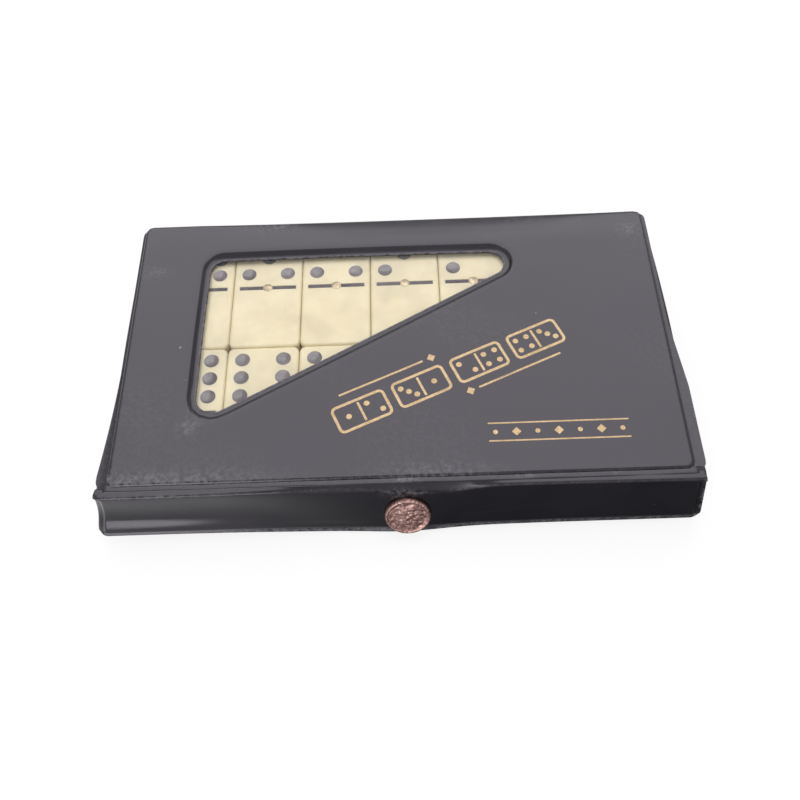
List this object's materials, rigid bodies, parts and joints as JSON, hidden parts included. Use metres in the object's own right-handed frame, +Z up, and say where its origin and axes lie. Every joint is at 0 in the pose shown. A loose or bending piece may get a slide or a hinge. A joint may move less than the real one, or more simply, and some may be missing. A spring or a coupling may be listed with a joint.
{
  "type": "domino storage box",
  "caption": "Flat vinyl-covered box with a clear three-cornered window in its hinged lid, a front flap held by a snap, and a full double-six set of domino tiles inside.",
  "frame": {"origin": "on the surface the box lies on, under the middle of its whole length and depth", "axes": "+X along the length to the right, +Y from the flap at the front to the hinge at the back, +Z up out of the lid"},
  "size_m": [0.1892, 0.1144, 0.023],
  "materials": {
    "vinyl": "satin",
    "lining": "matte",
    "board": "matte",
    "film": "gloss",
    "tile": "satin",
    "enamel": "gloss",
    "pin": "satin",
    "snap_steel": "satin",
    "snap_cap": "hammered"
  },
  "bodies": {
    "tray": {"bottom_cover": "vinyl", "wall_cover": "vinyl", "hinge_fold": "vinyl", "bottom_board": "board", "front_board": "board", "back_board": "board", "left_board": "board", "right_board": "board", "tray_lining": "lining", "snap_stud": "snap_steel", "stud_washer": "snap_steel", "pips_top_layer": "enamel", "pips_low_layer": "enamel", "bar_enamel": "enamel", "spinner_pins": "pin", "tile_6_0": "tile", "tile_5_0": "tile", "tile_4_0": "tile", "tile_3_0": "tile", "tile_2_0": "tile", "tile_1_0": "tile", "tile_0_0": "tile", "tile_6_6": "tile", "tile_6_5": "tile", "tile_6_4": "tile", "tile_6_3": "tile", "tile_6_2": "tile", "tile_6_1": "tile", "tile_5_5": "tile", "tile_5_4": "tile", "tile_5_3": "tile", "tile_5_2": "tile", "tile_5_1": "tile", "tile_4_4": "tile", "tile_4_3": "tile", "tile_4_2": "tile", "tile_4_1": "tile", "tile_3_3": "tile", "tile_3_2": "tile", "tile_3_1": "tile", "tile_2_2": "tile", "tile_2_1": "tile", "tile_1_1": "tile"},
    "lid": {"lid_cover": "vinyl", "lid_board": "board", "lid_lining": "lining", "window_film": "film"},
    "flap": {"flap_cover": "vinyl", "flap_card": "board", "flap_lining": "lining", "snap_cap": "snap_cap", "snap_socket": "snap_steel", "socket_spring": "snap_steel"}
  },
  "joints": [
    {"name": "lid_hinge", "type": "hinge", "parent": "tray", "child": "lid", "pos_m": [0, 0.05676, 0.0201], "axis": [-1, 0, 0], "range_deg": [0, 180]},
    {"name": "flap_fold", "type": "hinge", "parent": "lid", "child": "flap", "pos_m": [0, -0.04784, 0.02265], "axis": [-1, 0, 0], "range_deg": [0, 180]}
  ]
}
